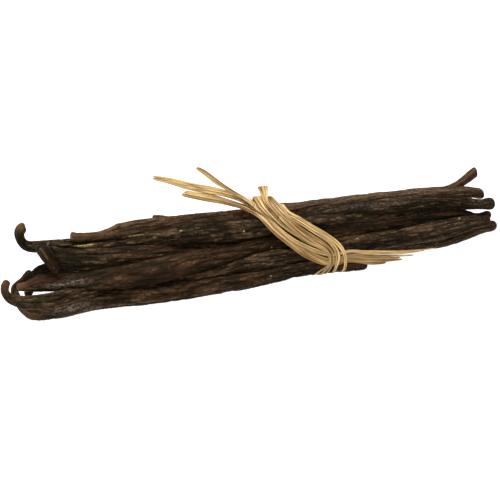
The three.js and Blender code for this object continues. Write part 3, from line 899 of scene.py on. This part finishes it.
def strand_width(middle, across, closed):
    """The width of a strand at a section. A closed turn fans out, and a free end widens."""
    if closed:
        wider = FAN * part_of(middle.z / MM, FAN_FROM, FAN_HEIGHT)
    else:
        wider = PALE_WIDER * far_left(middle)
    return across.length * (1 + wider)


def end_width(to_end, point):
    """The share of its width that a slip still has at a distance from its end, in mm."""
    if not point:
        return 1.0
    blunt = TORN_END if point < LONG_POINT else FINE_END
    return blunt + (1 - blunt) * part_of(to_end, 0.0, point) ** POINT_POWER


# %% Bend of a slip
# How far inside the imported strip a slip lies, closer to the pods.
PRESS = 0.25 * MM
# The edges roll under by a share of the half width, and the fold runs in waves across it.
ROLL = 0.34
ROLL_POWER = 4
FOLD = 0.05 * MM
FOLD_WAVES = 1.25
# Slow noise along a slip: its strength, its run in mm, and two numbers that set it apart.
WANDER = (0.16 * MM, 8.0, 1.7, 3.1)
TILT = (0.5, 6.0, 2.3, 7.7)
EDGE_SHADE_POWER = 3
# The tone of a slip: its middle value, how much it varies, and how much paler the free ends are
# painted, as painted light where they stand up towards the lamps.
TONE = 0.45
TONE_VARIES = 1.1
PAINTED_LIGHT_ON_LEFT_ENDS = 0.42
# Steps through the noise, so that no two slips have the same tone or the same fibres.
NEXT_TONE = 4.9
TONE_PLANE = (0.7, 2.3)
NEXT_STRAW = 5.3


def drift(kind, s, seed):
    strength, run, step, plane = kind
    return strength * noise.noise(Vector((s / run, seed * step, plane)))


def crown(side, half, seed):
    """The height of a slip across its width. Side is -1 at one edge and 1 at the other."""
    fold = FOLD * math.cos(2 * math.pi * FOLD_WAVES * side + seed)
    return fold - ROLL * half * side ** ROLL_POWER


def bend_slip(piece, rows, strand, slip, seed):
    """Lays a flat grid along a strand, and keeps the place, painted edge shade and tone of its
    points.
    """
    sections, along, closed = strand
    shift, width, lift, start, end, point = slip
    stations = np.linspace(start * along[-1], end * along[-1], rows + 1)
    columns = [np.interp(stations, along, column) for column in sections.reshape(-1, 9).T]
    grid = np.array(columns).T.reshape(rows + 1, 3, 3)
    own_tone = TONE + TONE_VARIES * noise.noise(Vector((seed * NEXT_TONE, *TONE_PLANE)))
    straws, edges, tones_and_light = [], [], []
    for vert in piece.data.vertices:
        side = vert.co.x
        row = min(int(round((vert.co.y + 1) / 2 * rows)), rows)
        s = stations[row]
        middle, across, outward = (Vector(part) for part in grid[row])
        full = strand_width(middle, across, closed)
        half = 0.5 * width * full * end_width(min(s - stations[0], stations[-1] - s), point)
        sideways = shift * full + drift(WANDER, s, seed) + half * side
        height = lift * MM - PRESS + crown(side, half, seed) + drift(TILT, s, seed) * half * side
        vert.co = middle + across.normalized() * sideways + outward.normalized() * height
        straws.extend((half * side / MM + seed * NEXT_STRAW, lift, s))
        # the edge value, for painted shade along the rolled edges
        edges.append(abs(side) ** EDGE_SHADE_POWER)
        # the slip's tone, with painted light that makes the free ends on the left paler
        tones_and_light.append(own_tone + PAINTED_LIGHT_ON_LEFT_ENDS * far_left(middle))
    layer = piece.data.attributes.new("straw", "FLOAT_VECTOR", "POINT")
    layer.data.foreach_set("vector", straws)
    keep(piece, "edge", edges)
    keep(piece, "leaf_tone_and_light", tones_and_light)


# %% [markdown]
# ## Fibres and thickness
#
# Palm leaf is ribbed along its length, coarse ribs with fine ones on them. They stand out in the
# slanting light, so they are raised in the mesh, by the same winding valleys of noise that made
# the wrinkles. How deep a point lies in a groove is kept for the material, which paints shade
# there. A Solidify modifier then gives the slip the thickness of a dry leaf, which is simpler than
# modelling both faces.

# %% Fibres
FIBRE_RELIEF = 0.11 * MM
FIBRES = (
    # spacing across, length along in mm, plane of the noise, and share of the relief
    (0.42, 16.0, 1.3, 0.7),
    (0.16, 9.0, 5.9, 0.3),
)


def raise_fibres(piece):
    heights = []
    for x, _, s in read(piece.data.attributes["straw"].data, "vector", 3).tolist():
        heights.append(sum(share * ridge(x / spacing, s / run, plane)
                           for spacing, run, plane, share in FIBRES))
    # the depth in a groove, kept for painted shade there
    keep(piece, "groove_shade", [1.0 - height for height in heights])
    push_out(piece, "fibres", heights, FIBRE_RELIEF)


# %% A slip
# Faces across a slip, and the length of one along it in mm, before it is rounded off.
SLIP_COLUMNS = 6
ROW_STEP = 1.3
FEWEST_ROWS = 4
SLIP_LEVELS = 2
LEAF_THICKNESS = 0.1 * MM


def leaf_slip(strand, slip, seed):
    """A slip of leaf along a strand, from its start to its end, which are shares of the strand."""
    _, along, _ = strand
    _, _, _, start, end, _ = slip
    rows = max(int((end - start) * along[-1] / ROW_STEP), FEWEST_ROWS)
    bpy.ops.mesh.primitive_grid_add(x_subdivisions=SLIP_COLUMNS, y_subdivisions=rows, size=2)
    piece = bpy.context.active_object
    bend_slip(piece, rows, strand, slip, seed)
    round_off(piece, SLIP_LEVELS)
    raise_fibres(piece)
    leaf = piece.modifiers.new("leaf", "SOLIDIFY")
    leaf.thickness = LEAF_THICKNESS
    leaf.offset = 0.0
    bpy.ops.object.modifier_apply(modifier=leaf.name)
    bpy.ops.object.shade_smooth()
    return piece


# %% [markdown]
# ## The strands
#
# Five turns of raffia go round the bundle, and five more strands have free ends. The slips of a
# strand overlap a little and lie at slightly different heights, so that each casts a thin shadow
# on the next. They could stay apart as objects, but a strand is one thing, so they are joined.

# %% Strands
RIBBONS = {
    # for each slip: shift and width as shares of the strand's width, lift in mm, start and end as
    # shares of its length, and the length of its points in mm
    "raffia_loop_1": [(-0.34, 0.44, 0.1, 0, 1, 0), (0.0, 0.42, 0.2, 0, 1, 0),
                      (0.36, 0.42, 0.05, 0, 1, 0)],
    "raffia_loop_2": [(-0.27, 0.6, 0.0, 0, 1, 0), (0.28, 0.58, 0.14, 0, 1, 0)],
    "raffia_loop_3": [(-0.28, 0.58, 0.12, 0, 1, 0), (0.3, 0.58, 0.0, 0, 1, 0)],
    "raffia_loop_4": [(-0.3, 0.6, 0.0, 0, 1, 0), (0.32, 0.62, 0.12, 0, 1, 0)],
    "raffia_loop_5": [(-0.32, 0.6, 0.12, 0, 1, 0), (0.28, 0.58, 0.0, 0, 1, 0)],
    "raffia_strand_lower": [(-0.32, 0.8, 0.0, 0, 0.93, 0.6), (0.28, 0.74, 0.1, 0.01, 1, 0.8),
                            (-0.02, 0.3, 0.2, 0, 0.965, 3)],
    "raffia_strand_upper": [(-0.26, 0.8, 0.0, 0, 0.94, 1.5), (0.24, 0.76, 0.1, 0, 1, 7)],
    "raffia_strand_middle": [(-0.32, 0.8, 0.1, 0, 0.95, 0.6), (0.3, 0.72, 0.0, 0, 1, 0.8),
                             (0.0, 0.26, 0.2, 0.03, 0.975, 2)],
    "raffia_tail_thin": [(-0.2, 0.85, 0.0, 0, 1, 0.6), (0.3, 0.7, 0.1, 0.01, 1, 1.5)],
    "raffia_folded_tab": [(-0.32, 0.42, 0.05, 0, 1, 0), (0.0, 0.42, 0.15, 0, 0.985, 0),
                          (0.33, 0.42, 0.0, 0, 0.96, 0)],
}
NEXT_STRAND = 3.1


def ribbon(node, slips, number):
    middles, acrosses, outwards = strip_sections(node)
    closed = np.allclose(middles[0], middles[-1])
    middles, outwards = smoothed(middles, closed), smoothed(outwards, closed)
    sections = np.stack(turn_tails(middles, acrosses, outwards), axis=1)
    steps = np.linalg.norm(np.diff(sections[:, 0], axis=0), axis=1) / MM
    along = np.concatenate([[0], np.cumsum(steps)])
    strand = (sections, along, closed)
    pieces = [leaf_slip(strand, slip, number * NEXT_STRAND + k) for k, slip in enumerate(slips)]
    select_only(pieces[0])
    for piece in pieces[1:]:
        piece.select_set(True)
    bpy.ops.object.join()
    whole = bpy.context.active_object
    whole.name = whole.data.name = node.replace("raffia", "ribbon")
    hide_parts(node)
    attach(whole, "root")
    print(whole.name, "slips:", len(slips), "length mm:", round(along[-1], 1),
          "points:", len(whole.data.vertices))
    return whole


ribbons = [ribbon(node, slips, n) for n, (node, slips) in enumerate(RIBBONS.items())]

# %% [markdown]
# ## Dry leaf
#
# Dried palm leaf is pale straw, browner along the fibres. It is matt with a slight silky shine, so
# its roughness is about a half, and its index of refraction is that of plant fibre, about 1.45.
# One flat colour would hide the slips, so fine lines of noise along the strand pick a straw colour
# from a ramp, and each slip has a tone of its own, which painted light makes paler on the free
# ends on the left. The groove and the edge that were kept on the mesh then darken it with painted
# shade, in the grooves between the fibres and along the rolled edges, in the same places as the
# relief.

# %% Raffia material
# The size of one line of fibres, in mm: across the slip, from slip to slip, and along it.
LEAF_LINE = (0.3125, 1.0, 11.11)
LEAF_IOR = 1.45
LEAF_BUMP = 0.05 * MM
PAINTED_SHADES = (
    # what is kept on the mesh, the value where the painted shade begins, its greatest share, and
    # colour
    # painted shade in the grooves between the fibres
    ("groove_shade", 0.3, 0.9, "#52370f"),
    # painted shade along the rolled edges
    ("edge", 0.35, 0.65, "#4a3210"),
)

dry_leaf, tree = new_material("dry palm leaf")
straw = add_node(tree, "ShaderNodeAttribute", {"attribute_name": "straw"}).outputs["Vector"]
lines = grain(tree, straw, LEAF_LINE, Detail=4.0, Roughness=0.6)
# the tone of each slip, with painted light on the free ends on the left
slip_tone_and_light = add_node(tree, "ShaderNodeAttribute", {"attribute_name": "leaf_tone_and_light"})
own_tone = add_node(tree, "ShaderNodeMapRange", Value=slip_tone_and_light.outputs["Fac"],
                    To_Min=-0.17, To_Max=0.13)
straw_tone_and_light = add_node(tree, "ShaderNodeMath", _0=lines, _1=own_tone)
colour = add_node(tree, "ShaderNodeValToRGB", Fac=straw_tone_and_light)
set_stops(colour, ((0.3, "#644112"), (0.72, "#e8c583")))
for name, low, most, brown in PAINTED_SHADES:
    depth = add_node(tree, "ShaderNodeAttribute", {"attribute_name": name})
    share = add_node(tree, "ShaderNodeMapRange", Value=depth.outputs["Fac"], From_Min=low,
                     To_Max=most)
    colour = add_node(tree, "ShaderNodeMix", {"data_type": "RGBA"}, _0=share, _6=colour,
                      _7=linear(brown))
bump = add_node(tree, "ShaderNodeBump", Height=lines, Strength=0.4, Distance=LEAF_BUMP)
shader = add_node(tree, "ShaderNodeBsdfPrincipled", Base_Color=colour, Roughness=0.5,
                  IOR=LEAF_IOR, Normal=bump)
add_node(tree, "ShaderNodeOutputMaterial", Surface=shader)
for piece in ribbons:
    piece.data.materials.clear()
    piece.data.materials.append(dry_leaf)
print(dry_leaf.name, "nodes:", len(tree.nodes))
